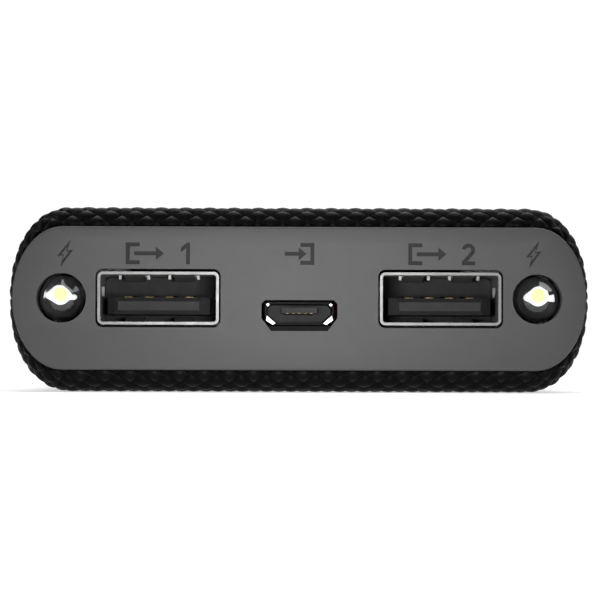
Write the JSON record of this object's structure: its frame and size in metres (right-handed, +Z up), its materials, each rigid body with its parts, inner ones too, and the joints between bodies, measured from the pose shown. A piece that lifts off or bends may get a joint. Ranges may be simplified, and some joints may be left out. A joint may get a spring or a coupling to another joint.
{
  "type": "power bank",
  "caption": "Flat rechargeable power bank with a diamond-textured case, USB-A outputs, a Micro-USB input, torch LEDs in the end panel and a side power button.",
  "frame": {"origin": "middle of the case's footprint, on the surface it lies on", "axes": "+Z up from the lower flat face; the port panel faces -Y and the power button faces +X"},
  "size_m": [0.0634, 0.14, 0.0203],
  "materials": {
    "case_plastic": "satin black moulded ABS with raised diamonds",
    "panel_plastic": "smooth satin dark grey ABS",
    "trim_plastic": "satin charcoal ABS",
    "steel": "nickel-plated steel sheet",
    "socket_insulator": "matte black moulded LCP",
    "gold_contact": "gold-plated copper alloy",
    "clear_resin": "clear epoxy",
    "light_resin": "translucent white acrylic",
    "board": "black solder mask on glass-fibre board",
    "chip_black": "black moulding compound",
    "ferrite": "dark ferrite",
    "canister": "bright aluminium can",
    "pouch_foil": "dull laminated aluminium foil",
    "tab_metal": "bright nickel strip",
    "adhesive_tape": "double-sided tape",
    "foam": "open-cell foam",
    "red_sleeve": "red silicone insulation",
    "black_sleeve": "black silicone insulation"
  },
  "bodies": {
    "case": {"board_screw_left": "steel", "board_screw_right": "steel", "bottom_shell": "case_plastic", "capacitor_left": "canister", "capacitor_right": "canister", "cell_lower": "pouch_foil", "cell_tab_lower_minus": "tab_metal", "cell_tab_lower_plus": "tab_metal", "cell_tab_upper_minus": "tab_metal", "cell_tab_upper_plus": "tab_metal", "cell_tape": "adhesive_tape", "cell_upper": "pouch_foil", "charger_chip": "chip_black", "converter_chip": "chip_black", "indicator_led_1": "light_resin", "indicator_led_2": "light_resin", "indicator_led_3": "light_resin", "indicator_led_4": "light_resin", "inductor": "ferrite", "key_trim": "trim_plastic", "light_guide": "light_resin", "main_board": "board", "micro_contact_1": "gold_contact", "micro_contact_2": "gold_contact", "micro_contact_3": "gold_contact", "micro_contact_4": "gold_contact", "micro_contact_5": "gold_contact", "micro_shell": "steel", "micro_tongue": "socket_insulator", "negative_lead": "black_sleeve", "pad_lower": "foam", "pad_upper": "foam", "port_panel": "panel_plastic", "positive_lead": "red_sleeve", "protection_board": "board", "rear_panel": "panel_plastic", "switch_body": "chip_black", "switch_cover": "steel", "top_shell": "case_plastic", "torch_lead_left_a": "steel", "torch_lead_left_b": "steel", "torch_lead_right_a": "steel", "torch_lead_right_b": "steel", "torch_led_left": "clear_resin", "torch_led_right": "clear_resin", "usb_contact_1a": "gold_contact", "usb_contact_1b": "gold_contact", "usb_contact_1c": "gold_contact", "usb_contact_1d": "gold_contact", "usb_contact_2a": "gold_contact", "usb_contact_2b": "gold_contact", "usb_contact_2c": "gold_contact", "usb_contact_2d": "gold_contact", "usb_shell_1": "steel", "usb_shell_2": "steel", "usb_tongue_1": "socket_insulator", "usb_tongue_2": "socket_insulator"},
    "button": {"power_button": "trim_plastic", "switch_plunger": "chip_black"}
  },
  "joints": [
    {"name": "button_press", "type": "slide", "parent": "case", "child": "button", "axis": [-1, 0, 0], "range_m": [0, 0.0003], "stiffness_N_per_m": 5300}
  ]
}
